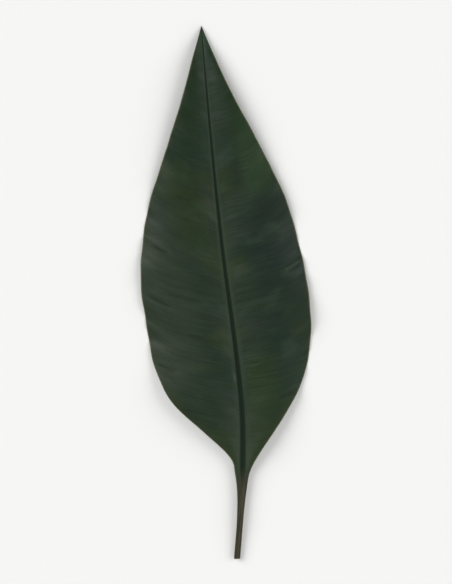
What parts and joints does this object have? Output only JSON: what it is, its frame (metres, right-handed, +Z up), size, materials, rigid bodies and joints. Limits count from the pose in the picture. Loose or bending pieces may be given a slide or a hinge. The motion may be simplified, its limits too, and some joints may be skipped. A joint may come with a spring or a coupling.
{
  "type": "banana leaf",
  "caption": "Long pointed leaf blade with a grooved midrib, gently waving margins and a cut leaf stalk, lying face up.",
  "frame": {"origin": "centre of the leaf's box, on the surface that the leaf lies on", "axes": "+Y along the leaf towards its tip, +X towards its right half, +Z up, out of its face"},
  "size_m": [0.1198, 0.374, 0.0109],
  "materials": {
    "leaf": "satin"
  },
  "bodies": {
    "root": {"banana_leaf": "leaf"}
  },
  "joints": []
}
